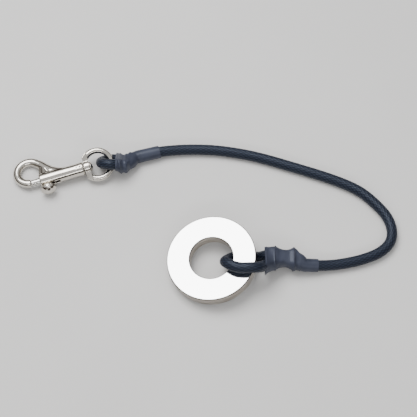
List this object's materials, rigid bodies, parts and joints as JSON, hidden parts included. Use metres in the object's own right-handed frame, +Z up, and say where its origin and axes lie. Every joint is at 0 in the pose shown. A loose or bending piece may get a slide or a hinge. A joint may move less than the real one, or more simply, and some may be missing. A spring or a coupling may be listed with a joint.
{
  "type": "lead rope",
  "caption": "Short elastic braided tie with a swivel-eye bolt snap looped on at one end and a heavy flat metal ring looped on at the other.",
  "frame": {"origin": "on the surface the tie lies on, below the middle of the box round every node that isn't cord", "axes": "+X from the snap towards the far bend of the cord, +Y from the ring towards the cord's long run, +Z up"},
  "size_m": [0.3602, 0.1663, 0.0346],
  "materials": {
    "snap_casting": "bright nickel plate over a die casting, softly polished",
    "snap_bolt_steel": "bright plated steel, turned",
    "spring_steel": "drawn wire",
    "cord_cover": "tight braided polyester, charcoal to navy",
    "elastic_strands": "bundled natural rubber strands",
    "crimp_metal": "pressed",
    "shrink_sleeve": "matte shrink tube, dark grey-blue",
    "ring_metal": "polished flat faces and side"
  },
  "bodies": {
    "tie": {"cord_braid": "cord_cover", "cord_core": "elastic_strands", "snap_loop_braid": "cord_cover", "snap_loop_core": "elastic_strands", "ring_loop_braid": "cord_cover", "ring_loop_core": "elastic_strands", "snap_crimp": "crimp_metal", "ring_crimp": "crimp_metal", "snap_sleeve": "shrink_sleeve", "ring_sleeve": "shrink_sleeve"},
    "eye": {"swivel_eye": "snap_casting"},
    "snap": {"snap_body": "snap_casting", "swivel_pin": "snap_casting", "bolt_spring": "spring_steel"},
    "bolt": {"snap_bolt": "snap_bolt_steel", "thumb_button": "snap_casting"},
    "ring": {"ring": "ring_metal"}
  },
  "joints": [
    {"name": "eye_swing", "type": "hinge", "parent": "tie", "child": "eye", "pos_m": [-0.05063, 0.0625, 0.01153], "axis": [-0.2898, 0.9061, 0.3083], "range_deg": [-45, 45]},
    {"name": "snap_swivel", "type": "hinge", "parent": "eye", "child": "snap", "pos_m": [-0.0756, 0.0551, 0.0098], "axis": [0.9567, 0.2834, 0.0663], "continuous": true},
    {"name": "bolt_slide", "type": "slide", "parent": "snap", "child": "bolt", "axis": [0.9567, 0.2834, 0.0663], "range_m": [0, 0.0095], "stiffness_N_per_m": 400, "springref_m": -0.005, "deforming": ["bolt_spring"]},
    {"name": "ring_spin", "type": "hinge", "parent": "tie", "child": "ring", "pos_m": [0.0455, -0.042, 0.01255], "axis": [-0.1545, -0.0472, 0.9869], "continuous": true}
  ]
}
